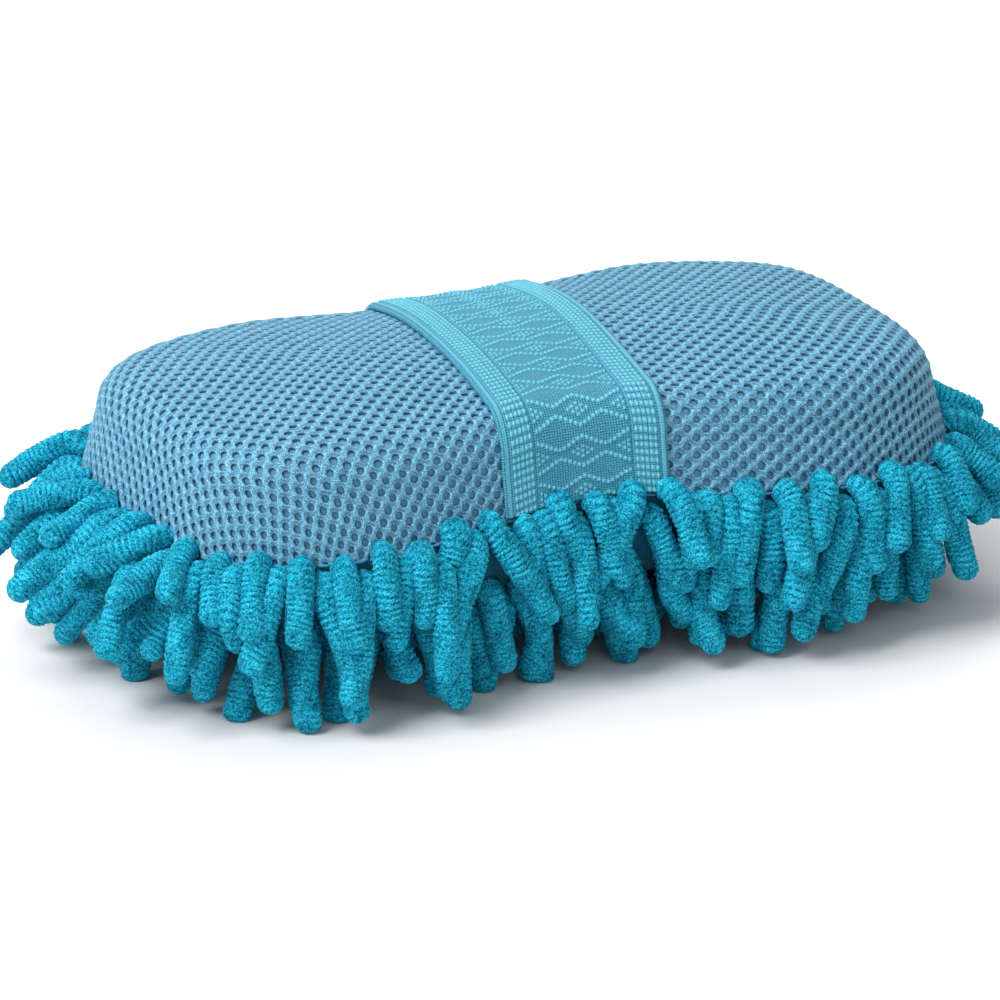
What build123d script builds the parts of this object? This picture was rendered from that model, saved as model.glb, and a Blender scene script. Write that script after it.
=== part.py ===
from build123d import *
import math
import os

os.makedirs("parts", exist_ok=True)

# ---- Pad block, seen from above: a rounded oblong drawn in at the middle
pad_half_length = 115.0
pad_half_width = 70.0
outline_power = 3.5
waist_depth = 14.0
waist_reach = 55.0
waist_centre_x = -5.0
outline_stations = 44

# ---- Pad block, seen from the end: heights are above the floor
base_height = 23.0
base_round_inset = 15.0
base_round_height = 14.0
seam_height = 44.0
shoulder_height = 61.0
shoulder_inset = 4.0
shoulder_radius = 13.0
shoulder_turn = 82.0
crown_rise = 4.5
crown_insets = [25.0, 35.0, 46.0, 57.0]
curve_steps = 5

# ---- Layers over the foam
cover_thickness = 2.2
strap_gap = 0.3
strap_thickness = 1.8

# ---- Hand strap
strap_centre_x = -2.0
strap_width = 47.0
strap_skew = 5.1
strap_foot_height = 44.6
strap_split_height = 66.0

# ---- Seam stitching
stitch_length = 3.2
stitch_radius = 0.35
stitch_pitch = 4.6
stitch_offset = 0.42

# ---- Chenille noodles
noodle_radius = 3.7
noodle_bite = 1.3
side_pitch = 10.9
# name, root height, lean out from straight down in degrees, root to tip, stagger
side_rows = [
    ("upper", 39.9, 56.0, 21.0, 0.0),
    ("middle", 32.2, 40.0, 21.0, 0.5),
    ("lower", 25.6, 26.0, 20.0, 0.0),
    ("edge", 21.2, 3.0, 16.0, 0.5),
]
side_swing = 4.0
swing_step = 2.4
swing_shift = 9.0

# ---- Noodles under the pad
under_rows = 10
under_row_pitch = 9.6
under_pitch = 11.6
under_lean = 45.0
under_tip_height = 3.3
under_yaw_steps = [-2.5, 0.0, 2.5]
under_margin = 16.0
under_lift = 0.2

big = 400.0
small_turn = 0.01


def outline_point(turn, inset):
    """Point on the pad's plan outline, drawn in by inset, at an angle round it."""
    c = math.cos(turn)
    s = math.sin(turn)
    reach = (abs(c) ** outline_power + abs(s) ** outline_power) ** (-1 / outline_power)
    x = (pad_half_length - inset) * c * reach
    pinch = math.exp(-(((x - waist_centre_x) / waist_reach) ** 2))
    y = (pad_half_width - inset) * s * reach * (1 - waist_depth / pad_half_width * pinch)
    return x, y


def pad_profile():
    """Height and inset of the pad's side, from the edge of its base to its crown."""
    rows = []
    for k in range(curve_steps + 1):
        q = math.radians(90.0 * k / curve_steps)
        inset = base_round_inset * (1 - math.sin(q))
        height = base_height + base_round_height * (1 - math.cos(q))
        rows.append((height, inset))
    rows.append((seam_height, 0.0))
    rows.append(((seam_height + shoulder_height) / 2, shoulder_inset / 2))
    for k in range(curve_steps + 1):
        q = math.radians(shoulder_turn * k / curve_steps)
        height = shoulder_height + shoulder_radius * math.sin(q)
        rows.append((height, shoulder_inset + shoulder_radius * (1 - math.cos(q))))
    top = shoulder_height + shoulder_radius
    flat = pad_half_width - shoulder_inset - shoulder_radius
    for inset in crown_insets:
        q = (pad_half_width - inset) / flat
        rows.append((top + crown_rise * (1 - q * q), inset))
    return rows


def offset_profile(rows, distance):
    """The same profile moved outwards by a distance, square to itself."""
    moved = []
    last = len(rows) - 1
    for k, (height, inset) in enumerate(rows):
        before = rows[max(k - 1, 0)]
        after = rows[min(k + 1, last)]
        rise = after[0] - before[0]
        run = after[1] - before[1]
        if k == 0:
            rise = 0.0
        if k == last:
            rise = 0.0
        size = math.hypot(rise, run)
        moved.append((height + distance * run / size, inset - distance * rise / size))
    return moved


def pad_body(distance):
    """The pad's block, with its skin moved outwards by a distance."""
    wires = []
    for height, inset in offset_profile(pad_profile(), distance):
        points = []
        for k in range(outline_stations):
            x, y = outline_point(2 * math.pi * k / outline_stations, inset)
            points.append(Vector(x, y, height))
        wires.append(Wire([Edge.make_spline(points, periodic=True)]))
    return Solid.make_loft(wires, ruled=True)


def slab(low, high):
    """A wide block between two heights."""
    return Pos(0, 0, (low + high) / 2) * Box(big, big, high - low)


def outline_walk(pitch, stagger):
    """Evenly spaced places round the outline: point and outward direction."""
    fine = 1440
    points = [outline_point(2 * math.pi * k / fine, 0.0) for k in range(fine + 1)]
    lengths = [0.0]
    for k in range(fine):
        step = math.hypot(points[k + 1][0] - points[k][0], points[k + 1][1] - points[k][1])
        lengths.append(lengths[-1] + step)
    count = round(lengths[-1] / pitch / 4) * 4
    places = []
    at = 0
    for k in range(count):
        want = lengths[-1] * (k + 0.5 + stagger) / count
        want = want % lengths[-1]
        if lengths[at] > want:
            at = 0
        while lengths[at + 1] < want:
            at += 1
        places.append((2 * math.pi * at / fine, points[at]))
    return places


def outward(turn):
    """Outward direction of the plain oblong, leaving out the drawn-in middle."""
    c = math.cos(turn)
    s = math.sin(turn)
    power = outline_power - 1
    nx = math.copysign(abs(c) ** power, c) / pad_half_length
    ny = math.copysign(abs(s) ** power, s) / pad_half_width
    size = math.hypot(nx, ny)
    return nx / size, ny / size


def side_noodles():
    """Root, tip and side of every noodle in the four rows round the pad."""
    found = []
    profile = offset_profile(pad_profile(), noodle_radius - noodle_bite)
    for name, height, lean, length, stagger in side_rows:
        inset = 0.0
        for low, high in zip(profile, profile[1:]):
            if low[0] <= height <= high[0]:
                share = (height - low[0]) / (high[0] - low[0])
                inset = low[1] + share * (high[1] - low[1])
        for k, (turn, _) in enumerate(outline_walk(side_pitch, stagger)):
            x, y = outline_point(turn, inset)
            nx, ny = outward(turn)
            swing = math.radians(side_swing * math.sin(swing_step * k + swing_shift * stagger))
            dx = nx * math.cos(swing) - ny * math.sin(swing)
            dy = nx * math.sin(swing) + ny * math.cos(swing)
            out = length * math.sin(math.radians(lean))
            drop = length * math.cos(math.radians(lean))
            root = (x, y, height)
            tip = (x + dx * out, y + dy * out, height - drop)
            if abs(nx) > abs(ny):
                side = "right" if nx > 0 else "left"
            else:
                side = "back" if ny > 0 else "front"
            found.append((name, side, root, tip))
    return found


def under_noodles():
    """Row number, root and tip of every noodle under the pad."""
    found = []
    root_height = base_height + noodle_bite - noodle_radius + under_lift
    drop = root_height - under_tip_height
    run = drop * math.tan(math.radians(under_lean))
    for row in range(under_rows):
        y = (row - (under_rows - 1) / 2) * under_row_pitch
        way = 1 if row % 2 == 0 else -1
        count = int(2 * pad_half_length / under_pitch)
        for k in range(count):
            x = (k - (count - 1) / 2) * under_pitch
            yaw = math.radians(under_yaw_steps[(k + row) % len(under_yaw_steps)])
            root = (x - way * run / 2, y, root_height)
            tip = (x + way * run * math.cos(yaw) - way * run / 2, y + run * math.sin(yaw), under_tip_height)
            if under_fits(root) and under_fits(tip):
                found.append((row + 1, root, tip))
    return found


def under_fits(point):
    """Whether a place lies far enough inside the pad's outline."""
    half_length = pad_half_length - under_margin - noodle_radius
    pinch = math.exp(-(((point[0] - waist_centre_x) / waist_reach) ** 2))
    half_width = (pad_half_width - under_margin - noodle_radius)
    half_width = half_width * (1 - waist_depth / pad_half_width * pinch)
    reach = abs(point[0] / half_length) ** outline_power + abs(point[1] / half_width) ** outline_power
    return reach < 1.0


def capsule(root, tip, radius):
    """A round-ended rod from root to tip, both being its ends' centres."""
    start = Vector(*root)
    along = Vector(*tip) - start
    slant = radius * math.sqrt(0.5)
    arc_low = ThreePointArc((0, -radius), (slant, -slant), (radius, 0))
    wall = Line((radius, 0), (radius, along.length))
    arc_high = ThreePointArc(
        (radius, along.length),
        (slant, along.length + slant),
        (0, along.length + radius),
    )
    axis = Line((0, along.length + radius), (0, -radius))
    face = make_face([arc_low, wall, arc_high, axis])
    rod = revolve(face, Axis.Y, 360)
    place = Plane(origin=start, z_dir=along.normalized()) * Rot(90, 0, 0)
    return (place * rod).solids()[0]


def save(name, solids):
    """Write one sub-part's solids to its own file."""
    shape = solids[0] if len(solids) == 1 else Compound(children=list(solids))
    export_step(shape, "parts/" + name + ".step")


# ---- Foam block, and the two covers sewn round it
foam_core = pad_body(-cover_thickness)
covered_pad = pad_body(0.0)
mesh_cover = (covered_pad & slab(seam_height, big)) - foam_core
chenille_cloth = (covered_pad & slab(-big, seam_height)) - foam_core
save("foam_core", foam_core.solids())
save("mesh_cover", mesh_cover.solids())
save("chenille_cloth", chenille_cloth.solids())

# ---- Hand strap: one loose band over the top, two flanks down to the seam
strap_outside = pad_body(strap_gap + strap_thickness)
strap_inside = pad_body(strap_gap)
strap_strip = Pos(strap_centre_x, 0, 0) * Rot(0, 0, -strap_skew) * Box(strap_width, big, big)
band_block = strap_outside & (strap_strip & slab(strap_split_height, big))
flank_block = strap_outside & (strap_strip & slab(strap_foot_height, strap_split_height))
strap_band = band_block - strap_inside
flanks = flank_block - strap_inside
save("strap_band", strap_band.solids())
for solid in flanks.solids():
    name = "strap_flank_front" if solid.center().Y < 0 else "strap_flank_back"
    save(name, [solid])

# ---- Seam stitching
stitches = []
for turn, point in outline_walk(stitch_pitch, 0.0):
    after = outline_point(turn + small_turn, 0.0)
    along = Vector(after[0] - point[0], after[1] - point[1], 0).normalized()
    centre = Vector(point[0] + along.Y * stitch_offset, point[1] - along.X * stitch_offset, seam_height)
    half = along * (stitch_length / 2 - stitch_radius)
    stitches.append(capsule(tuple(centre - half), tuple(centre + half), stitch_radius))
save("seam_stitches", stitches)

# ---- Noodles round the sides
groups = {}
for name, side, root, tip in side_noodles():
    groups.setdefault("noodles_" + name + "_" + side, []).append(capsule(root, tip, noodle_radius))
for name, solids in groups.items():
    save(name, solids)

# ---- Noodles underneath, their tips pressed flat on the floor
floor = slab(-big, 0.0)
shapes = {}
groups = {}
for row, root, tip in under_noodles():
    key = (round(tip[0] - root[0], 3), round(tip[1] - root[1], 3))
    if key not in shapes:
        rod = capsule((0, 0, root[2]), (key[0], key[1], tip[2]), noodle_radius)
        shapes[key] = (rod - floor).solids()[0]
    copy = shapes[key].moved(Location((root[0], root[1], 0)))
    groups.setdefault("noodles_under_" + str(row), []).append(copy)
for name, solids in groups.items():
    save(name, solids)
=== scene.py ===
import bmesh
import bpy
import numpy as np
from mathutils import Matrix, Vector


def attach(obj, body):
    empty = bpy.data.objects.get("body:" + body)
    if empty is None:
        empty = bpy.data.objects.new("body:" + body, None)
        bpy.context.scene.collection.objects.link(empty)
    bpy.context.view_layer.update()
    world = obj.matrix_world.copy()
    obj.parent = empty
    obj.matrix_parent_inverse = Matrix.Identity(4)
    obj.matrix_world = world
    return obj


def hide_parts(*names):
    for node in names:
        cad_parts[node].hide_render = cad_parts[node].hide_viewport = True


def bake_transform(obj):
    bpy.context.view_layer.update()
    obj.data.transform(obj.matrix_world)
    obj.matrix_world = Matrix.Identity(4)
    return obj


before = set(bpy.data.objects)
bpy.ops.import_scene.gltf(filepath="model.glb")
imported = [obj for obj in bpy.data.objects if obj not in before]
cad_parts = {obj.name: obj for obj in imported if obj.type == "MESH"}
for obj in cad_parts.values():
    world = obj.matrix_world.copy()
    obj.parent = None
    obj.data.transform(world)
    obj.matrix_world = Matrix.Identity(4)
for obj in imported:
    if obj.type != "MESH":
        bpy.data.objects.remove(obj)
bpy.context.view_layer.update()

# ---- Foam block ----------------------------------------------------------------
# The core is one block of open-cell sponge foam, cut to a rounded oblong that is
# drawn in at the middle by the strap. The two covers are sewn shut round it.

half_length, half_width = 0.115, 0.070
corner_power = 3.5
waist_depth, waist_reach, waist_x = 0.014, 0.055, -0.005
base_height, base_inset, base_round = 0.023, 0.015, 0.014
seam_height, shoulder_height, shoulder_inset = 0.044, 0.061, 0.004
shoulder_radius, shoulder_turn, crown_rise = 0.013, np.radians(82), 0.0045
seam_rise, seam_rise_reach, seam_rise_fade = 0.0048, 0.045, 0.030
roll_height, roll_fade, roll_weight = 0.0004, 0.010, 0.6
cover_thickness, lining_gap = 0.0022, 0.0001
flat_steps, round_steps, upright_steps, wall_steps = 60, 40, 9, 20
base_end, side_start, side_end, crown_start = -0.030, -0.028, 0.040, 0.044
foam_columns = 180


def pad_profile():
    """Inset and height of the pad's skin from the middle of its base, round the
    quarter-ellipse edge, up the leaning wall and the round shoulder, and over the
    parabola of the crown, with the distance walked, which is 0 at the seam."""
    low = np.linspace(0, np.pi / 2, round_steps)[1:]
    high = np.linspace(0, shoulder_turn, round_steps)[1:]
    flat = half_width - shoulder_inset - shoulder_radius
    shoulder_end = shoulder_inset + shoulder_radius * (1 - np.cos(shoulder_turn))
    crown = np.linspace(shoulder_end, half_width, flat_steps)[1:]
    top = shoulder_height + shoulder_radius
    crown_height = top + crown_rise * (1 - ((half_width - crown) / flat) ** 2)
    inset = np.concatenate([
        np.linspace(half_width, base_inset, flat_steps),
        base_inset * (1 - np.sin(low)),
        np.zeros(upright_steps - 1),
        np.linspace(0, shoulder_inset, wall_steps)[1:],
        shoulder_inset + shoulder_radius * (1 - np.cos(high)),
        crown,
    ])
    height = np.concatenate([
        np.full(flat_steps, base_height),
        base_height + base_round * (1 - np.cos(low)),
        np.linspace(base_height + base_round, seam_height, upright_steps)[1:],
        np.linspace(seam_height, shoulder_height, wall_steps)[1:],
        shoulder_height + shoulder_radius * np.sin(high),
        np.maximum(crown_height, top - shoulder_radius * (1 - np.sin(shoulder_turn))),
    ])
    step = np.hypot(np.diff(inset), np.diff(height))
    walked = np.concatenate([[0], np.cumsum(step)])
    seam = flat_steps + round_steps + upright_steps - 3
    return walked - walked[seam], inset, height


walk, walk_inset, walk_height = pad_profile()
walk_low, walk_top = walk[0], walk[-1]
lean_inset = -np.gradient(walk_height, walk)
lean_height = np.gradient(walk_inset, walk)


def pad_inset(along, out):
    """Inset of the skin at a distance above the seam, moved out square to it."""
    return np.interp(along, walk, walk_inset) + out * np.interp(along, walk, lean_inset)


def pad_height(along, out):
    """Height of the skin at a distance above the seam, moved out square to it."""
    return np.interp(along, walk, walk_height) + out * np.interp(along, walk, lean_height)


def settle(x, y, z):
    """The strap's pull lifts the seam at the middle by a bell curve, and the soft
    skin rolls gently: two crossed sine waves that fade out towards the seam."""
    bell = np.exp(-((x - waist_x) / seam_rise_reach) ** 2)
    share = np.interp(z, [base_height, seam_height, seam_height + seam_rise_fade], [0, 1, 0])
    roll = np.sin(58 * x + 0.9) * np.sin(71 * y + 0.4) + roll_weight * np.sin(113 * x - 95 * y)
    roll = roll_height * roll * np.clip((z - shoulder_height) / roll_fade, 0, 1)
    return z + seam_rise * bell * share + roll


def pad_skin(across, deep, along, out):
    """Points of the pad's skin: a direction round it (across, deep), pushed out to
    the rounded-oblong ring of its inset, pinched by a bell curve at the strap."""
    inset = pad_inset(along, out)
    reach = (abs(across) ** corner_power + abs(deep) ** corner_power) ** (-1 / corner_power)
    x = (half_length - inset) * across * reach
    pinch = 1 - waist_depth / half_width * np.exp(-((x - waist_x) / waist_reach) ** 2)
    y = np.maximum(half_width - inset, 0) * deep * reach * pinch
    return np.stack([x, y, settle(x, y, pad_height(along, out))], axis=-1)


def ring_faces(rows, columns):
    """Four-cornered faces of a grid whose columns close into rings."""
    a = np.arange(rows - 1)[:, None] * columns + np.arange(columns)[None]
    b = np.arange(rows - 1)[:, None] * columns + (np.arange(columns)[None] + 1) % columns
    return np.stack([a, b, b + columns, a + columns], axis=-1).reshape(-1, 4)


def make_piece(name, points, faces, dye, marks=None, weld=0.0):
    """A piece from its points, lists of faces and named values at its points."""
    mesh = bpy.data.meshes.new(name)
    corners = np.concatenate([f.ravel() for f in faces]).astype(np.int32)
    sizes = np.concatenate([np.full(len(f), f.shape[1]) for f in faces])
    mesh.vertices.add(len(points))
    mesh.vertices.foreach_set("co", np.ascontiguousarray(points, np.float32).ravel())
    mesh.loops.add(len(corners))
    mesh.loops.foreach_set("vertex_index", corners)
    mesh.polygons.add(len(sizes))
    mesh.polygons.foreach_set("loop_start", (np.cumsum(sizes) - sizes).astype(np.int32))
    mesh.update(calc_edges=True)
    for mark, values in (marks or {}).items():
        kind = "FLOAT_VECTOR" if values.ndim == 2 else "FLOAT"
        field = mesh.attributes.new(mark, kind, "POINT")
        key = "vector" if values.ndim == 2 else "value"
        field.data.foreach_set(key, np.ascontiguousarray(values, np.float32).ravel())
    if weld:
        edit = bmesh.new()
        edit.from_mesh(mesh)
        bmesh.ops.remove_doubles(edit, verts=edit.verts, dist=weld)
        bmesh.ops.dissolve_degenerate(edit, edges=edit.edges, dist=weld)
        edit.to_mesh(mesh)
        edit.free()
    mesh.validate()
    mesh.shade_smooth()
    mesh.materials.append(dye.material)
    piece = bpy.data.objects.new(name, mesh)
    bpy.context.scene.collection.objects.link(piece)
    return piece


class Strand:
    """A value in a material. Sums, products and powers of it add Math nodes."""

    def __init__(self, dye, socket):
        self.dye = dye
        self.socket = socket

    def math(self, operation, *others):
        return self.dye.node("ShaderNodeMath", {"operation": operation},
                             dict(enumerate((self,) + others)))

    def __add__(self, other):
        return self.math("ADD", other)

    __radd__ = __add__

    def __mul__(self, other):
        return self.math("MULTIPLY", other)

    __rmul__ = __mul__

    def __sub__(self, other):
        return self.math("SUBTRACT", other)

    def __rsub__(self, other):
        return (self * -1.0) + other


class Dye:
    """A material's nodes. node() adds any node and gives back one of its outputs."""

    def __init__(self, name):
        self.material = bpy.data.materials.new(name)
        self.material.use_nodes = True
        self.tree = self.material.node_tree
        self.tree.nodes.clear()

    def node(self, kind, settings=None, inputs=None, out=0):
        made = self.tree.nodes.new(kind)
        for key, value in (settings or {}).items():
            setattr(made, key, value)
        for key, value in (inputs or {}).items():
            if isinstance(value, Strand):
                self.tree.links.new(value.socket, made.inputs[key])
            else:
                made.inputs[key].default_value = value
        return Strand(self, made.outputs[out]) if len(made.outputs) else None

    def mark(self, name, out=2):
        return self.node("ShaderNodeAttribute", {"attribute_name": name}, out=out)

    def place(self):
        return self.node("ShaderNodeTexCoord", out=3)

    def noise(self, where, scale, detail=2.0, rough=0.5):
        return self.node("ShaderNodeTexNoise", inputs={
            "Vector": where, "Scale": scale, "Detail": detail, "Roughness": rough})

    def clamp(self, value, low, high, to_low=0.0, to_high=1.0):
        return self.node("ShaderNodeMapRange", {"clamp": True}, {
            "Value": value, "From Min": low, "From Max": high,
            "To Min": to_low, "To Max": to_high})

    def mix(self, factor, a, b, blend="MIX"):
        return self.node("ShaderNodeMix", {"data_type": "RGBA", "blend_type": blend},
                         {0: factor, 6: a, 7: b}, out=2)

    def bump(self, height, distance, strength=1.0, under=None):
        inputs = {"Height": height, "Distance": distance, "Strength": strength}
        if under is not None:
            inputs["Normal"] = under
        return self.node("ShaderNodeBump", inputs=inputs)

    def cloth(self, colour, rough, normal, sheen=0.0, sheen_tint=(1, 1, 1, 1), specular=0.3):
        shader = self.node("ShaderNodeBsdfPrincipled", inputs={
            "Base Color": colour, "Roughness": rough, "Normal": normal,
            "Sheen Weight": sheen, "Sheen Roughness": 0.4, "Sheen Tint": sheen_tint,
            "Specular IOR Level": specular})
        self.node("ShaderNodeOutputMaterial", inputs={"Surface": shader})
        return self


def pad_ring(rows_along, rows_out, columns):
    """A skin swept round the pad through rows of distance and offset."""
    turn = np.linspace(0, 2 * np.pi, columns, endpoint=False)[None] + 1e-4
    along, out = rows_along[:, None], rows_out[:, None]
    points = pad_skin(np.cos(turn), np.sin(turn), along, out)
    return points.reshape(-1, 3), ring_faces(len(rows_along), columns)


foam_dye = Dye("sponge foam")
foam_spot = foam_dye.place()
foam_cells = foam_dye.node("ShaderNodeTexVoronoi", inputs={"Vector": foam_spot, "Scale": 900.0})
foam_tone = foam_dye.noise(foam_spot, 60.0)
foam_dye.cloth(
    foam_dye.mix(foam_tone, (0.30, 0.27, 0.17, 1), (0.44, 0.40, 0.27, 1)),
    0.95, foam_dye.bump(foam_cells, 0.0006))

foam_rows = np.concatenate([
    np.linspace(walk_low, base_end, 10), np.linspace(side_start, side_end, 40),
    np.linspace(crown_start, walk_top, 16)])
foam_depth = np.full(len(foam_rows), -cover_thickness)
foam_points, foam_faces = pad_ring(foam_rows, foam_depth, foam_columns)
foam_block = make_piece("foam_block", foam_points, [foam_faces], foam_dye, weld=1e-6)
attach(foam_block, "pad")
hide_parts("foam_core")

# ---- Chenille cloth ------------------------------------------------------------
# A plain weft-knit backing, mid blue, that the noodles are tufted through. It goes
# under the foam and up the lower walls, and is sewn to the mesh along the seam.

knit_dye = Dye("backing knit")
knit_spot = knit_dye.place()
knit_wale = knit_dye.node("ShaderNodeTexWave", {"wave_type": "BANDS", "bands_direction": "X"}, {
    "Vector": knit_spot, "Scale": 420.0, "Distortion": 1.2, "Detail": 1.0, "Detail Scale": 3.0})
knit_course = knit_dye.node("ShaderNodeTexWave", {"wave_type": "BANDS", "bands_direction": "Z"}, {
    "Vector": knit_spot, "Scale": 520.0, "Distortion": 0.8, "Detail": 1.0, "Detail Scale": 3.0})
knit_height = knit_wale * 0.5 + knit_course * 0.5
knit_dye.cloth(
    knit_dye.mix(knit_height, (0.0008, 0.055, 0.110, 1), (0.004, 0.170, 0.290, 1)),
    0.85, knit_dye.bump(knit_height, 0.0003), 0.2, (0.3, 0.7, 1, 1))

cloth_columns = 240
cloth_in = np.concatenate([np.linspace(walk_low, base_end, 8), np.linspace(side_start, 0, 18)])
cloth_out = cloth_in[::-1]
cloth_rows = np.concatenate([cloth_in, cloth_out])
cloth_depth = np.repeat([lining_gap - cover_thickness, 0], len(cloth_in))
cloth_points, cloth_faces = pad_ring(cloth_rows, cloth_depth, cloth_columns)
chenille_backing = make_piece("chenille_backing", cloth_points, [cloth_faces[:, ::-1]],
                              knit_dye, weld=1e-6)
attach(chenille_backing, "pad")
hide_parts("chenille_cloth")

# ---- Mesh cover ----------------------------------------------------------------
# Spacer mesh: an upper net of knitted holes 1.9 mm across on a diagonal lattice,
# over a darker back layer, stretched over the foam's top and upper walls.

hole_half = 0.00265
hole_radius, hole_scatter = 0.00093, 0.05
hole_depth = 0.00085
yarn_height, over_height, under_height = 0.00004, 0.00020, 0.00004
net_width = walk_top
net_length = half_length + net_width - half_width
net_power, net_slack, crown_walk = 3.0, 0.6, 0.05
lattice_across, lattice_deep = 56, 40
halvings = 36


def drape(flat_x, flat_y, out):
    """Lays flat cloth over the pad. Each flat point lies on one rounded oblong a
    distance in from the flat edge; halving steps find that distance, and the point
    goes to the pad's ring the same distance above the seam, in the same direction."""
    flat_y = np.where(abs(flat_y) < 1e-6, 1e-6, flat_y)
    ax, ay = abs(flat_x), abs(flat_y)
    low = np.full(ax.shape, -0.02)
    high = np.maximum(np.minimum(net_length - ax, net_width - ay), low + 1e-9)
    for _ in range(halvings):
        mid = (low + high) / 2
        size = (ax / (net_length - mid)) ** net_power + (ay / (net_width - mid)) ** net_power
        low = np.where(size < 1, mid, low)
        high = np.where(size < 1, high, mid)
    deep = (low + high) / 2
    u, v = flat_x / (net_length - deep), flat_y / (net_width - deep)
    above = np.clip(deep, 0, net_width)
    inset = np.interp(above, walk, walk_inset)
    slack_u = net_slack * ((net_length - deep) / (half_length - inset) - 1)
    slack_v = net_slack * ((net_width - deep) / np.maximum(half_width - inset, 1e-4) - 1)
    slack_v = np.where(above > crown_walk, 0, slack_v)
    u = u * (1 + slack_u * (1 - abs(u) ** 3))
    v = v * (1 + slack_v * (1 - abs(v) ** 3))
    return pad_skin(u, v, above, out), above


def net_lattice():
    """Centres of the holes, and the corners of the diamond of cloth round each, in
    whole thirds of the half spacing, so that neighbours share their corners."""
    across, deep = np.meshgrid(np.arange(-lattice_across, lattice_across + 1),
                               np.arange(-lattice_deep, lattice_deep + 1), indexing="ij")
    keep = (across + deep) % 2 == 0
    across, deep = across[keep], deep[keep]
    x, y = across * hole_half, deep * hole_half
    inside = (abs(x) / (net_length + 0.001)) ** net_power + (abs(y) / (net_width + 0.001)) ** net_power
    across, deep = across[inside < 1], deep[inside < 1]
    side = np.array([3, 2, 1, 0, -1, -2, -3, -2, -1, 0, 1, 2])
    rise = np.array([0, 1, 2, 3, 2, 1, 0, -1, -2, -3, -2, -1])
    corner = np.stack([3 * across[:, None] + side, 3 * deep[:, None] + rise], axis=-1)
    return across * hole_half, deep * hole_half, corner


net_x, net_y, net_corner = net_lattice()
corner_keys, corner_index = np.unique(net_corner.reshape(-1, 2), axis=0, return_inverse=True)
corner_index = corner_index.reshape(-1, 12)
corner_x, corner_y = corner_keys[:, 0] * hole_half / 3, corner_keys[:, 1] * hole_half / 3

# The knit's threads cross between the holes: the strands that rise to the right lie
# on top, so the cloth is higher along them.
strand_a = np.cos(np.pi * (corner_x + corner_y) / hole_half)
strand_b = np.cos(np.pi * (corner_x - corner_y) / hole_half)
crest = yarn_height + over_height * np.clip(-strand_b, -0.4, 1)
crest = crest + under_height * np.clip(-strand_a, 0, 1)
ring_turn = np.arange(12) * np.pi / 6
ring_x, ring_y = np.cos(ring_turn), np.sin(ring_turn)
# share of the hole's radius, depth, slope across the ring, value of its crest mark (the mark paints
# shade down each hole and a highlight at its rim)
net_rings = [
    (1.34, 0.0, 0.00008, 0.8),
    (1.07, -0.00030, 0.0, 0.35),
    (1.00, -hole_depth, 0.0, 0.0),
]
net_points = [drape(corner_x, corner_y, crest)[0]]
net_flat = [np.stack([corner_x, corner_y, crest], axis=-1)]
net_mark = [np.full(len(corner_x), 1.0)]
net_rng = np.random.default_rng(11)
hole_size = hole_radius * (1 + hole_scatter * net_rng.standard_normal(len(net_x)))
for share, depth, slope, crest_mark in net_rings:
    rim_x = net_x[:, None] + hole_size[:, None] * share * ring_x
    rim_y = net_y[:, None] + hole_size[:, None] * share * ring_y
    lift = depth + slope * (ring_x - ring_y)[None]
    lift = np.broadcast_to(lift, rim_x.shape).ravel()
    net_points.append(drape(rim_x.ravel(), rim_y.ravel(), lift)[0])
    net_flat.append(np.stack([rim_x.ravel(), rim_y.ravel(), lift], axis=-1))
    net_mark.append(np.full(rim_x.size, crest_mark))
ring_base = [len(corner_x) + k * len(net_x) * 12 for k in range(len(net_rings))]
ring_ids = [base + np.arange(len(net_x) * 12).reshape(-1, 12) for base in ring_base]
loops = [corner_index] + ring_ids
net_faces = []
for outer, inner in zip(loops, loops[1:]):
    net_faces.append(np.stack([
        outer, np.roll(outer, -1, axis=1), np.roll(inner, -1, axis=1), inner,
    ], axis=-1).reshape(-1, 4))

net_dye = Dye("mesh yarn")
net_place = net_dye.mark("flat", out=1)
net_depth = net_dye.mark("crest")
net_across = net_dye.node("ShaderNodeSeparateXYZ", inputs={0: net_place}, out=0)
net_along = net_dye.node("ShaderNodeSeparateXYZ", inputs={0: net_place}, out=1)
net_beat = np.pi / hole_half
net_zigzag = (net_across + net_along) * net_beat
net_strand = (net_across - net_along) * net_beat + net_zigzag.math("SINE") * 0.8
net_strand = 0.5 - net_strand.math("COSINE") * 0.5
net_fuzz = net_dye.noise(net_place, 2300.0, 3.0, 0.7)
net_speck = net_dye.noise(net_place, 3300.0, 2.0, 0.6)
net_tone = net_dye.noise(net_place, 260.0, 2.0)
# Painted highlight: the yarn is coloured lighter along the upper strands between the holes, on top of
# its fuzz and tone.
net_strand_highlight = net_strand * net_strand * net_strand
net_level = net_fuzz * 0.95 + net_strand_highlight * 0.24 + net_tone * 0.25
net_yarn = net_dye.mix(net_dye.clamp(net_level, 0.44, 0.92),
                       (0.006, 0.075, 0.180, 1), (0.105, 0.410, 0.620, 1))
# Painted highlight: a pale ring of colour where the crest mark peaks at the rim of each hole.
net_rim_highlight = net_dye.clamp(net_depth, 0.50, 0.80) * net_dye.clamp(net_depth, 1.0, 0.82)
# The pale yarn mix is partly real fibre specks and partly painted highlight on the hole rims and the
# upper strands.
net_specks_and_highlight = net_dye.clamp(net_speck + net_strand_highlight * 0.05 + net_rim_highlight * 0.10, 0.58, 0.68)
net_yarn = net_dye.mix(net_specks_and_highlight * 0.70, net_yarn, (0.44, 0.82, 0.97, 1))
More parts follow.
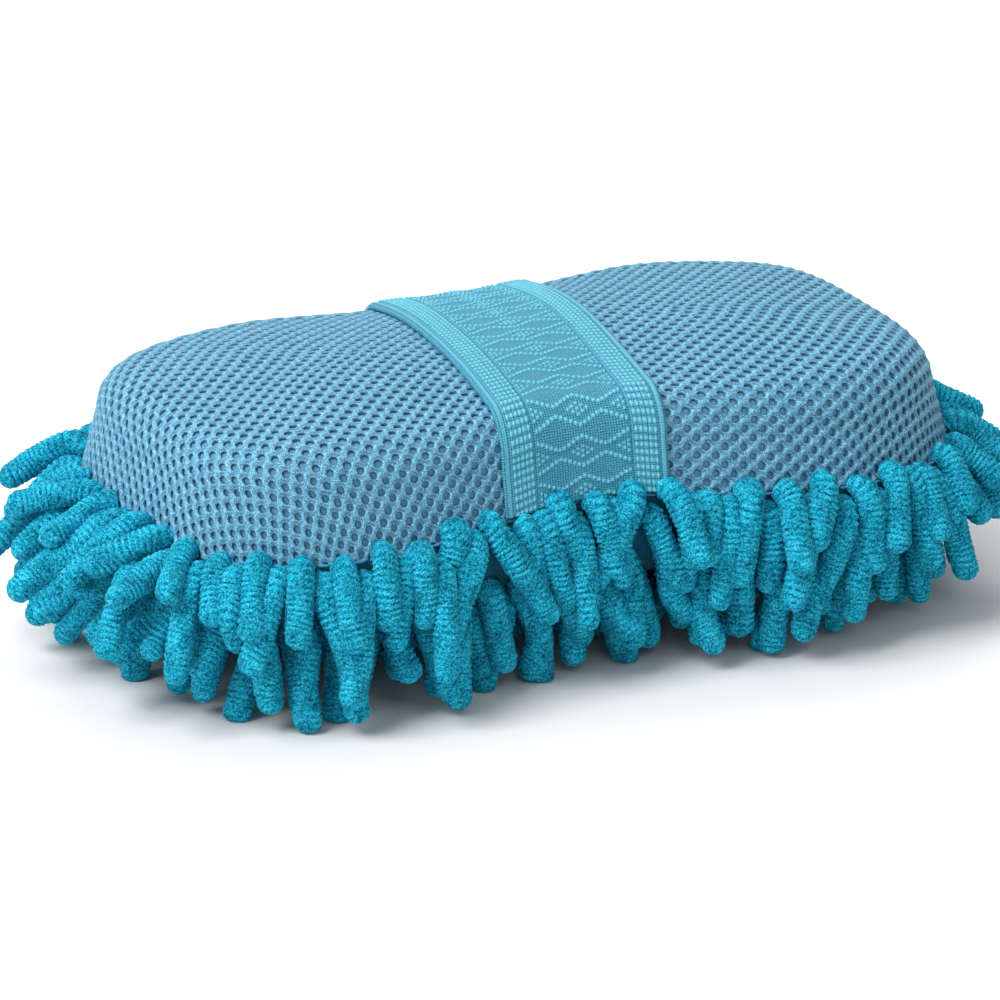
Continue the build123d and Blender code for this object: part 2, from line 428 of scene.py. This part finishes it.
# Painted shade: the hole walls blend to dark blue as the crest mark falls towards each hole's bottom.
net_dye.cloth(
    net_dye.mix(net_dye.clamp(net_depth, 0.1, 0.9), (0.014, 0.095, 0.19, 1), net_yarn),
    0.55, net_dye.bump(net_fuzz * 0.6 + net_strand * 0.25, 0.0004), 0.12, (0.4, 0.8, 1, 1), 0.35)

mesh_net = make_piece(
    "mesh_net", np.concatenate(net_points), net_faces, net_dye,
    {"flat": np.concatenate(net_flat), "crest": np.concatenate(net_mark)})
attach(mesh_net, "pad")
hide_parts("mesh_cover")

back_dye = Dye("mesh back layer")
back_spot = back_dye.place()
back_fuzz = back_dye.noise(back_spot, 1800.0, 3.0)
back_dye.cloth(
    back_dye.mix(back_fuzz, (0.055, 0.210, 0.370, 1), (0.160, 0.400, 0.600, 1)),
    0.8, back_dye.bump(back_fuzz, 0.0003))
back_columns = 200
back_in = np.concatenate([np.linspace(0, side_end, 30), np.linspace(crown_start, walk_top, 16)])
back_rows = np.concatenate([back_in, back_in[::-1]])
back_depth = np.repeat([-hole_depth, lining_gap - cover_thickness], len(back_in))
back_points, back_faces = pad_ring(back_rows, back_depth, back_columns)
mesh_back = make_piece("mesh_back", back_points, [back_faces], back_dye, weld=1e-6)
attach(mesh_back, "pad")

# ---- Seam ----------------------------------------------------------------------
# Lockstitch in blue thread along the line where the mesh meets the chenille cloth.
# Each stitch is a short plump run of twisted thread that sinks in at both ends.

stitch_pitch, stitch_length, stitch_radius = 0.0046, 0.0036, 0.00042
stitch_lift, stitch_arch = 0.00015, 0.0004
stitch_rows, stitch_sides = 11, 8

seam_turn = np.linspace(0, 2 * np.pi, 1441)
seam_line = pad_skin(np.cos(seam_turn), np.sin(seam_turn), 0 * seam_turn, 0 * seam_turn)
seam_steps = np.hypot(*np.diff(seam_line[:, :2], axis=0).T)
seam_length = np.concatenate([[0], np.cumsum(seam_steps)])


def walk_round(pitch, stagger):
    """Evenly spaced places round the seam: the angle of each round the pad."""
    count = int(round(seam_length[-1] / pitch / 4)) * 4
    wanted = seam_length[-1] * ((np.arange(count) + 0.5 + stagger) / count % 1)
    return np.interp(wanted, seam_length, seam_turn)


stitch_turn = walk_round(stitch_pitch, 0.0)
stitch_count = len(stitch_turn)
stitch_step = np.linspace(-1, 1, stitch_rows)
stitch_at = np.interp(stitch_turn, seam_turn, seam_length)
stitch_run = stitch_at[:, None] + stitch_step[None] * stitch_length / 2
stitch_angle = np.interp(stitch_run % seam_length[-1], seam_length, seam_turn)
stitch_out = stitch_lift + stitch_arch * (1 - stitch_step ** 2)
stitch_line = pad_skin(np.cos(stitch_angle), np.sin(stitch_angle),
                       np.full(stitch_angle.shape, 0.0), stitch_out[None] + 0 * stitch_angle)
stitch_ahead = np.gradient(stitch_line, axis=1)
stitch_ahead /= np.linalg.norm(stitch_ahead, axis=-1, keepdims=True)
stitch_side = np.cross(stitch_ahead, [0, 0, 1.0])
stitch_up = np.cross(stitch_side, stitch_ahead)
stitch_round = np.arange(stitch_sides) * 2 * np.pi / stitch_sides
stitch_width = stitch_radius * np.sqrt(np.clip(1 - (0.97 * stitch_step) ** 4, 0, 1))
stitch_points = (
    stitch_line[:, :, None]
    + stitch_width[None, :, None, None] * (
        np.cos(stitch_round)[:, None] * stitch_side[:, :, None]
        + np.sin(stitch_round)[:, None] * stitch_up[:, :, None]))
one_stitch = ring_faces(stitch_rows, stitch_sides)
stitch_shift = np.arange(stitch_count) * stitch_rows * stitch_sides
stitch_faces = (one_stitch[None] + stitch_shift[:, None, None]).reshape(-1, 4)
stitch_ends = np.concatenate([
    np.arange(stitch_sides)[::-1][None] + stitch_shift[:, None],
    (stitch_rows - 1) * stitch_sides + np.arange(stitch_sides)[None] + stitch_shift[:, None]])

thread_dye = Dye("seam thread")
thread_spot = thread_dye.place()
thread_fuzz = thread_dye.noise(thread_spot, 2600.0, 2.0)
thread_dye.cloth(
    thread_dye.mix(thread_fuzz, (0.02, 0.20, 0.34, 1), (0.07, 0.38, 0.55, 1)),
    0.5, thread_dye.bump(thread_fuzz, 0.0002), 0.2)
seam_thread = make_piece("seam_thread", stitch_points.reshape(-1, 3),
                         [stitch_faces[:, ::-1], stitch_ends[:, ::-1]], thread_dye)
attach(seam_thread, "pad")
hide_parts("seam_stitches")

# ---- Chenille noodles ----------------------------------------------------------
# Each noodle is a tuft of microfibre chenille yarn, 7 mm thick, its pile wound in
# rings round a core. Its root is locked in the backing knit, and it flops under its
# own weight. Four staggered rings go round the walls, one node for each side.

noodle_radius, radius_scatter = 0.0035, 0.05
noodle_sink, floor_gap = 0.0006, 0.0004
bend_share, bend_creep = 0.15, 0.10
kink_place, kink_share = 0.55, 0.07
ridge_pitch, ridge_height, ridge_middle = 0.00148, 0.00055, 0.6
pile_scatter, tip_rings = 0.00012, 8
# lengths of the slow waves along a noodle, and how far each one reaches
wind_waves, wind_reach = (0.0071, 0.0037, 0.0031), (1.5, 1.2, 1.6)
patch_waves, patch_share = (0.0029, 0.0017), (0.55, 0.25, 0.20)
lump_waves, lump_height = (0.005, 0.0034), (0.00016, 0.00014)


def noodle_line(root, out, length, dip_start, dip_end, sway, kink, share):
    """Centre line of each noodle: its heading turns from one dip below level to
    another, and sideways by its sway, both quickly at the root and then hardly at
    all; a few kink past the middle. Summing the headings keeps the length."""
    bent = np.tanh(share / bend_share) + bend_creep * share
    dip = dip_start[:, None] + (dip_end - dip_start)[:, None] * bent
    late = 0.5 + 0.5 * np.tanh((share - kink_place) / kink_share)
    dip = dip + kink[:, None] * late
    turn = sway[:, None] * bent + kink[::-1, None] * late
    side = np.stack([-out[:, 1], out[:, 0], 0 * out[:, 0]], axis=-1)
    up = np.array([0, 0, 1.0])
    level = np.concatenate([out, 0 * out[:, :1]], axis=1)
    ahead = (np.cos(turn) * np.cos(dip))[..., None] * level[:, None]
    ahead = ahead - (np.cos(turn) * np.sin(dip))[..., None] * up
    ahead = ahead + np.sin(turn)[..., None] * side[:, None]
    over = np.sin(dip)[..., None] * level[:, None] + np.cos(dip)[..., None] * up
    middle = (ahead[:, 1:] + ahead[:, :-1]) / 2
    steps = middle * (np.diff(share, axis=1) * length[:, None])[..., None]
    line = root[:, None] + np.concatenate([0 * steps[:, :1], np.cumsum(steps, axis=1)], axis=1)
    return line, over, np.cross(ahead, over)


def noodle_skin(root, out, length, dip_start, dip_end, sway, kink, radius, body, around, rng):
    """Skins a set of noodles: rings of pile wound as an uneven helix (a sine of the
    length plus the angle, bent by slower sines), a granular scatter, round ends."""
    count = len(length)
    tip_turn = np.linspace(0, np.pi / 2, tip_rings)[1:-1]
    cap = (radius / length)[:, None]
    share = np.concatenate([
        np.linspace(0, 1, body)[None] * (1 - cap), 1 - cap * (1 - np.sin(tip_turn))[None],
        np.ones((count, 1))], axis=1)
    line, over, side = noodle_line(root, out, length, dip_start, dip_end, sway, kink, share)
    rows = share.shape[1]
    angle = (np.arange(around) * 2 * np.pi / around)[None, None]
    run = (share * length[:, None])[..., None]
    phase = rng.uniform(0, 2 * np.pi, (6, count, 1, 1))
    wind = 2 * np.pi * run / ridge_pitch + angle
    wind = wind + wind_reach[0] * np.sin(angle + run / wind_waves[0] + phase[0])
    wind = wind + wind_reach[1] * np.sin(2 * angle - run / wind_waves[1] + phase[1])
    wind = wind + wind_reach[2] * np.sin(run / wind_waves[2] + phase[2])
    ridge = 0.5 + 0.5 * np.sin(wind)
    patch = np.sin(run / patch_waves[0] + 2 * angle + phase[3])
    strength = patch_share[0] + patch_share[1] * patch
    strength = strength + patch_share[2] * np.sin(3 * angle - run / patch_waves[1] + phase[4])
    grain = rng.standard_normal((count, rows, around))
    lump = lump_height[0] * np.sin(2 * angle + run / lump_waves[0] + phase[4])
    lump = lump + lump_height[1] * np.sin(run / lump_waves[1] + phase[5])
    round_off = np.concatenate([np.ones(body), np.cos(tip_turn), [0.0]])[None, :, None]
    full = radius[:, None, None] * round_off
    rough = ridge_height * (ridge - ridge_middle) * strength + pile_scatter * grain + lump
    wide = full + rough * round_off ** 0.5
    ring = np.cos(angle)[..., None] * over[:, :, None] + np.sin(angle)[..., None] * side[:, :, None]
    points = line[:, :, None] + wide[..., None] * ring
    # The pile mark is high on the wound ridges and low in the grooves; the pile material paints shade
    # in the grooves from it.
    pile = np.clip(0.20 + 0.84 * ridge * strength + 0.14 * grain, 0, 1)
    points = points[:, :-1].reshape(count, -1, 3)
    points = np.concatenate([points, line[:, -1:], line[:, :1]], axis=1)
    pile = pile[:, :-1].reshape(count, -1)
    pile = np.concatenate([pile, pile[:, -1:], pile[:, :1]], axis=1)
    size = (rows - 1) * around
    quads = ring_faces(rows - 1, around)
    last = (rows - 2) * around + np.arange(around)
    first = np.arange(around)
    tip = np.stack([last, np.roll(last, -1), np.full(around, size)], axis=-1)
    foot = np.stack([np.roll(first, -1), first, np.full(around, size + 1)], axis=-1)
    shift = (np.arange(count) * (size + 2))[:, None, None]
    quads = (quads[None] + shift).reshape(-1, 4)
    fans = (np.concatenate([tip, foot])[None] + shift).reshape(-1, 3)
    points = points.reshape(-1, 3)
    points[:, 2] = np.maximum(points[:, 2], floor_gap)
    return points, [quads, fans], pile.ravel()


chenille_dye = Dye("chenille pile")
pile_spot = chenille_dye.place()
pile_mark = chenille_dye.mark("pile")
pile_grain = chenille_dye.node("ShaderNodeTexVoronoi", {"feature": "F1"}, {
    "Vector": pile_spot, "Scale": 1700.0, "Randomness": 1.0})
pile_fuzz = chenille_dye.noise(pile_spot, 2400.0, 3.0, 0.65)
pile_height = pile_fuzz * 0.7 - pile_grain * 0.6 + 0.4
# Painted shade: the pile runs from near black in the grooves and between the grains to bright blue on
# the crests.
pile_shade_level = chenille_dye.clamp(pile_mark * 0.60 + pile_height * 0.7, 0.20, 0.90)
pile_colour = chenille_dye.mix(pile_shade_level, (0.0, 0.048, 0.100, 1), (0.005, 0.60, 0.90, 1))
# Painted highlight: pale glints on the grain's peaks, shown only on the crests.
pile_glint = chenille_dye.clamp(pile_height, 0.44, 0.60)
pile_colour = chenille_dye.mix(pile_glint * pile_mark * 0.85, pile_colour, (0.14, 0.80, 0.97, 1))
chenille_dye.cloth(
    pile_colour, 0.85,
    chenille_dye.bump(pile_height, 0.0006, 1.0), 0.10, (0.10, 0.75, 1.0, 1), 0.10)

side_rings = [
    # ring, stagger, place along the skin, length, dip at the root, dips at the long
    # sides, the left end and the right end, reach of sway, rows along and round each
    ("upper", 0.0, 0.0008, 0.0240, -36, 72, 18, 26, 0.44, 54, 32),
    ("middle", 0.5, -0.0040, 0.0282, -30, 77, 31, 52, 0.38, 60, 32),
    ("lower", 0.0, -0.0145, 0.0258, 18, 78, 46, 66, 0.34, 44, 24),
    ("edge", 0.5, -0.0230, 0.0232, 46, 82, 62, 74, 0.28, 38, 22),
]
noodle_pitch = 0.0109
root_scatter, length_scatter, shortest, longest = 0.0014, 0.13, 0.74, 1.24
start_scatter, end_scatter = 18, 9
sway_slow, sway_scatter, sway_limit = 0.30, 0.60, 1.2
kink_scatter, kinked = 0.55, 0.08
side_rng = np.random.default_rng(5)
left_longer, right_shorter = 0.04, 0.18
for ring in side_rings:
    ring_name, stagger, along, length, dip_root, dip_side, dip_left, dip_right = ring[:8]
    sway_reach, body, around = ring[8:]
    turn = walk_round(noodle_pitch, stagger)
    count = len(turn)
    c, s = np.cos(turn), np.sin(turn)
    power = corner_power - 1
    out = np.stack([np.sign(c) * abs(c) ** power / half_length,
                    np.sign(s) * abs(s) ** power / half_width], axis=-1)
    out /= np.linalg.norm(out, axis=1, keepdims=True)
    at_left, at_right = np.clip(-out[:, 0], 0, 1) ** 2, np.clip(out[:, 0], 0, 1) ** 2
    root = pad_skin(c, s, np.full(count, along) + root_scatter * side_rng.standard_normal(count),
                    np.full(count, noodle_sink))
    lengths = 1 + length_scatter * side_rng.standard_normal(count)
    lengths = length * lengths.clip(shortest, longest)
    lengths = lengths * (1 + left_longer * at_left - right_shorter * at_right)
    starts = np.radians(dip_root + start_scatter * side_rng.standard_normal(count))
    ends = dip_side + (dip_left - dip_side) * at_left + (dip_right - dip_side) * at_right
    ends = np.radians(ends + end_scatter * side_rng.standard_normal(count))
    slow = np.sin(3 * turn + 1.1) + 0.7 * np.sin(7 * turn + 0.4)
    sways = sway_slow * slow + sway_scatter * side_rng.standard_normal(count)
    sways = sway_reach * sways.clip(-sway_limit, sway_limit)
    kinks = kink_scatter * side_rng.standard_normal(count) * (side_rng.random(count) < kinked)
    radii = noodle_radius * (1 + radius_scatter * side_rng.standard_normal(count))
    side = np.where(abs(out[:, 0]) > abs(out[:, 1]),
                    np.where(out[:, 0] > 0, 0, 1), np.where(out[:, 1] > 0, 2, 3))
    for number, side_name in enumerate(("right", "left", "back", "front")):
        pick = side == number
        points, faces, pile = noodle_skin(
            root[pick], out[pick], lengths[pick], starts[pick], ends[pick], sways[pick],
            kinks[pick], radii[pick], body, around, side_rng)
        noodles = make_piece("chenille_" + ring_name + "_" + side_name, points, faces,
                             chenille_dye, {"pile": pile})
        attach(noodles, "pad")
        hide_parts("noodles_" + ring_name + "_" + side_name)

# ---- Noodles under the pad -----------------------------------------------------
# Ten rows of the same noodles across the base. The pad's weight lays them over, each
# row the other way from the next, and flattens their tips on the floor.

under_rows, under_row_pitch, under_pitch, under_margin = 10, 0.0096, 0.0116, 0.016
under_root, under_tip, under_radius, under_length = 0.0208, 0.0033, 0.0037, 0.0255
under_sink, under_yaw, under_sway = 0.0012, 0.10, 0.18
under_dip_root, under_root_scatter, under_dip_tip, under_tip_scatter = 70, 6, 38, 5
under_body, under_around = 30, 18
under_rng = np.random.default_rng(8)


def under_fits(x, y):
    """True where a place lies well inside the pad's rounded, pinched outline."""
    length = half_length - under_margin - under_radius
    pinch = 1 - waist_depth / half_width * np.exp(-((x - waist_x) / waist_reach) ** 2)
    width = (half_width - under_margin - under_radius) * pinch
    return abs(x / length) ** corner_power + abs(y / width) ** corner_power < 1


under_run = under_root - under_tip
for row in range(under_rows):
    way = 1 if row % 2 == 0 else -1
    count = int(2 * half_length / under_pitch)
    middle_x = (np.arange(count) - (count - 1) / 2) * under_pitch
    row_y = np.full(count, (row - (under_rows - 1) / 2) * under_row_pitch)
    keep = under_fits(middle_x - way * under_run / 2, row_y)
    keep &= under_fits(middle_x + way * under_run / 2, row_y)
    foot_x, foot_y = middle_x[keep] - way * under_run / 2, row_y[keep]
    count = len(foot_x)
    root = np.stack([foot_x, foot_y, np.full(count, under_root + under_sink)], axis=-1)
    yaw = under_yaw * under_rng.standard_normal(count)
    out = way * np.stack([np.cos(yaw), np.sin(yaw)], axis=-1)
    starts = np.radians(under_dip_root + under_root_scatter * under_rng.standard_normal(count))
    ends = np.radians(under_dip_tip + under_tip_scatter * under_rng.standard_normal(count))
    sways = under_sway * under_rng.standard_normal(count)
    points, faces, pile = noodle_skin(
        root, out, np.full(count, under_length), starts, ends, sways, np.zeros(count),
        np.full(count, under_radius), under_body, under_around, under_rng)
    noodles = make_piece("chenille_under_" + str(row + 1), points, faces, chenille_dye,
                         {"pile": pile})
    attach(noodles, "pad")
    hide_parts("noodles_under_" + str(row + 1))

# ---- Hand strap ----------------------------------------------------------------
# Woven jacquard elastic, 47 mm wide: a fine plain ground with raised picks in five
# border columns and in zigzags with small diamonds between, and a round selvedge.
# Both ends are caught in the seam; the middle is loose, so a hand goes under it.

strap_x, strap_slant = -0.002, 0.089
strap_half, strap_thick, strap_lift_off = 0.0235, 0.0018, 0.0003
edge_bulge, foot_short, askew_rounds = 0.0006, 0.0009, 12
strap_columns_top, strap_columns_low, strap_rows = 168, 12, 440
# the weave's pitches, places and heights, in mm
bead_pitch, border_pitch, border_start, repeat_along = 1.33, 2.35, 15.40, 12.5
zig_width, zig_rise, zig_middle = 13.3, 3.0, 3.1
knot_across, knot_along, knot_reach, corner_softness = 1.35, 0.85, 2, 0.97
border_dot, chain_dot, knot_dot = (0.52, 0.80), (0.56, 0.62), (0.50, 0.50)
row_bow, border_columns, field_gap = 0.06, 5, 1.95
# grooves, selvedge and raised band: how far across from the border's first column
inner_groove, outer_groove, selvedge_middle = -1.30, 6.40, 7.30
inner_width, outer_width, selvedge_width = 0.28, 0.30, 0.65
band_inside, band_outside = -0.95, 6.35
bead_height, groove_depth, selvedge_height, band_height = 0.62, 0.16, 0.22, 0.10


def strap_point(u, walked, out):
    """Point of the strap u across it and a signed distance from the crown's middle,
    raised by out from the pad's skin. The strap lies a little askew, so its x slides
    with y; a few rounds of putting y back into x settle it."""
    along = walk_top - abs(walked)
    inset = pad_inset(along, out)
    y = 0 * u
    for _ in range(askew_rounds):
        x = strap_x + u + strap_slant * y
        far = np.clip(abs(x / (half_length - inset)), 0, 0.999) ** corner_power
        pinch = 1 - waist_depth / half_width * np.exp(-((x - waist_x) / waist_reach) ** 2)
        y = np.maximum(half_width - inset, 0) * (1 - far) ** (1 / corner_power) * pinch
        y = np.where(walked < 0, -y, y)
    return np.stack([x, y, settle(x, y, pad_height(along, out))], axis=-1)


def dots(u, w, spread_u, spread_w):
    """A smooth round bump that is 1 at the middle of a raised pick."""
    return np.exp(-(u / spread_u) ** 2 - (w / spread_w) ** 2)


def triangle(u):
    """Triangle wave from -1 to 1 whose corners are softened."""
    return np.arcsin(corner_softness * np.sin(u)) / np.arcsin(corner_softness)


def strap_weave(u, w):
    """Height in mm and raised share of the weave at u across and w along, both in mm:
    border columns of bumps, two mirrored zigzag chains of bumps in each repeat, and
    a small diamond of bumps where the chains part."""
    side = abs(u)
    column = (side - border_start) / bead_pitch
    near = np.round(column)
    row = w / border_pitch + row_bow * side
    border = dots(side - border_start - near * bead_pitch,
                  (row - np.round(row)) * border_pitch, *border_dot)
    border = border * (near > -0.5) * (near < border_columns - 0.5)
    col = np.round(u / bead_pitch)
    bead_u = u - col * bead_pitch
    wave = triangle(2 * np.pi * (col * bead_pitch) / zig_width + np.pi / 2)
    field = side < border_start - field_gap
    chain = 0 * u
    for middle, sign in ((-zig_middle, 1), (zig_middle, -1)):
        bead_w = w - middle + sign * 0.5 * zig_rise * wave
        bead_w = bead_w - np.round(bead_w / repeat_along) * repeat_along
        chain = np.maximum(chain, dots(bead_u, bead_w, *chain_dot))
    knot = 0 * u
    centre_u = u - np.round(u / zig_width) * zig_width
    centre_w = w - np.round(w / repeat_along) * repeat_along
    for k in range(-knot_reach, knot_reach + 1):
        for m in range(-knot_reach, knot_reach + 1):
            if abs(k) + abs(m) <= knot_reach and (k + m) % 2 == 0:
                bump = dots(centre_u - k * knot_across, centre_w - m * knot_along, *knot_dot)
                knot = np.maximum(knot, bump)
    raised = np.maximum(border, np.maximum(chain, knot) * field)
    edge = side - border_start
    groove = np.exp(-((edge - inner_groove) / inner_width) ** 2)
    groove = groove + 0.6 * np.exp(-((edge - outer_groove) / outer_width) ** 2)
    selvedge = np.exp(-((edge - selvedge_middle) / selvedge_width) ** 2)
    height = bead_height * raised - groove_depth * groove + selvedge_height * selvedge
    height = height + band_height * (edge > band_inside) * (edge < band_outside)
    return height, raised + 0.5 * selvedge


strap_foot = walk_top - foot_short
across_top = np.linspace(-strap_half, strap_half, strap_columns_top)
edge_turn = np.linspace(0, np.pi, 7)[1:-1]
across_low = np.linspace(strap_half, -strap_half, strap_columns_low)
strap_u = np.concatenate([
    across_top, strap_half + edge_bulge * np.sin(edge_turn), across_low,
    -strap_half - edge_bulge * np.sin(edge_turn)])
low_out, high_out = strap_lift_off, strap_lift_off + strap_thick
edge_out = high_out - (high_out - low_out) * (1 - np.cos(edge_turn)) / 2
strap_out = np.concatenate([
    np.full(strap_columns_top, high_out), edge_out,
    np.full(strap_columns_low, low_out), edge_out[::-1]])
strap_walk = np.linspace(-strap_foot, strap_foot, strap_rows)
grid_u, grid_w = np.meshgrid(strap_u, strap_walk)
weave_height, weave_raised = strap_weave(grid_u * 1000, grid_w * 1000)
on_top = (np.arange(len(strap_u)) < strap_columns_top)[None] * 1.0
grid_out = strap_out[None] + 0.001 * weave_height * on_top
strap_points = strap_point(grid_u, grid_w, grid_out)
strap_columns = len(strap_u)
strap_quads = ring_faces(len(strap_walk), strap_columns)
strap_ends = np.stack([np.arange(strap_columns)[::-1],
                       (len(strap_walk) - 1) * strap_columns + np.arange(strap_columns)])

strap_dye = Dye("woven elastic")
weave_place = strap_dye.mark("weave", out=1)
weave_mark = strap_dye.mark("raised")
weave_warp = strap_dye.node("ShaderNodeTexWave", {"wave_type": "BANDS", "bands_direction": "X"}, {
    "Vector": weave_place, "Scale": 400.0, "Distortion": 0.6, "Detail": 1.0, "Detail Scale": 4.0})
weave_weft = strap_dye.node("ShaderNodeTexWave", {"wave_type": "BANDS", "bands_direction": "Y"}, {
    "Vector": weave_place, "Scale": 430.0, "Distortion": 0.6, "Detail": 1.0, "Detail Scale": 4.0})
weave_fuzz = strap_dye.noise(weave_place, 2100.0, 3.0, 0.65)
weave_height_mix = weave_warp * weave_weft * 0.35 + weave_fuzz * 0.75
weave_ground = strap_dye.mix(strap_dye.clamp(weave_height_mix, 0.34, 0.70),
                             (0.006, 0.145, 0.260, 1), (0.110, 0.530, 0.700, 1))
# Painted highlight: the raised picks, and the selvedge half as much, are coloured paler than the
# ground.
weave_bead_highlight = strap_dye.mix(weave_fuzz, (0.065, 0.50, 0.68, 1), (0.280, 0.80, 0.93, 1))
strap_dye.cloth(
    strap_dye.mix(strap_dye.clamp(weave_mark, 0.15, 0.75), weave_ground, weave_bead_highlight),
    0.5, strap_dye.bump(weave_height_mix, 0.00035), 0.12, (0.4, 0.9, 1, 1), 0.4)

hand_strap = make_piece(
    "hand_strap", strap_points.reshape(-1, 3), [strap_quads, strap_ends], strap_dye,
    {"weave": np.stack([grid_u.ravel(), grid_w.ravel(), 0 * grid_u.ravel()], axis=-1),
     "raised": (weave_raised * on_top).ravel()})
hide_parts("strap_band", "strap_flank_front", "strap_flank_back")
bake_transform(hand_strap)

# ---- Room ----------------------------------------------------------------------
# A pale floor, a long lens from the front left, and soft light from above left.
# view_scale is how many times a metre at the pad would fill the view's width.

floor_dye = Dye("pale floor")
floor_tone = floor_dye.noise(floor_dye.place(), 3.0)
floor_dye.cloth(floor_dye.mix(floor_tone, (0.84, 0.84, 0.84, 1), (0.87, 0.87, 0.87, 1)),
                0.9, floor_dye.bump(floor_tone, 0.0001))
floor_half, floor_squares = 6, 12
floor_line = np.linspace(-floor_half, floor_half, floor_squares + 1)
floor_x, floor_y = np.meshgrid(floor_line, floor_line)
floor_grid = np.stack([floor_x.ravel(), floor_y.ravel(), 0 * floor_x.ravel()], axis=-1)
floor_row = floor_squares + 1
floor_a = (np.arange(floor_squares)[:, None] * floor_row + np.arange(floor_squares)[None]).ravel()
floor_faces = np.stack([floor_a, floor_a + 1, floor_a + floor_row + 1, floor_a + floor_row], axis=-1)
floor = make_piece("floor", floor_grid, [floor_faces], floor_dye)

view_turn, view_tilt = 0.445, 0.331
view_distance, view_scale, film_width = 2.0, 3.712, 36
view_across, view_up = 0.0165, 0.0484
right = Vector((np.cos(view_turn), -np.sin(view_turn), 0))
ahead = Vector((np.sin(view_turn) * np.cos(view_tilt), np.cos(view_turn) * np.cos(view_tilt),
                -np.sin(view_tilt)))
above = right.cross(ahead)
middle = Vector((0, 0, seam_height))
camera_data = bpy.data.cameras.new("camera")
camera_data.sensor_width = film_width
camera_data.lens = view_scale * view_distance * film_width
camera = bpy.data.objects.new("camera", camera_data)
bpy.context.scene.collection.objects.link(camera)
camera.location = middle - ahead * view_distance
aim = middle - right * (view_across / view_scale) - above * (view_up / view_scale)
camera.rotation_euler = (aim - camera.location).to_track_quat("-Z", "Y").to_euler()
bpy.context.scene.camera = camera


def soft_light(name, spot, size, power, colour=(1, 1, 1)):
    """A square lamp at a spot, turned to face the pad."""
    data = bpy.data.lights.new(name, "AREA")
    data.energy = power
    data.size = size
    data.color = colour
    lamp = bpy.data.objects.new(name, data)
    lamp.location = spot
    lamp.rotation_euler = (Vector((0, 0, 0.04)) - Vector(spot)).to_track_quat("-Z", "Y").to_euler()
    bpy.context.scene.collection.objects.link(lamp)


soft_light("key", (-1.3, -0.2, 1.7), 1.3, 44)
soft_light("fill", (-0.4, -1.7, 1.3), 0.6, 3)
soft_light("back", (0.4, 1.2, 1.6), 1.0, 14)
room = bpy.data.worlds.new("room")
room.use_nodes = True
room.node_tree.nodes["Background"].inputs[0].default_value = (1, 1, 1, 1)
room.node_tree.nodes["Background"].inputs[1].default_value = 0.45
bpy.context.scene.world = room
bpy.context.scene.view_settings.view_transform = "Standard"
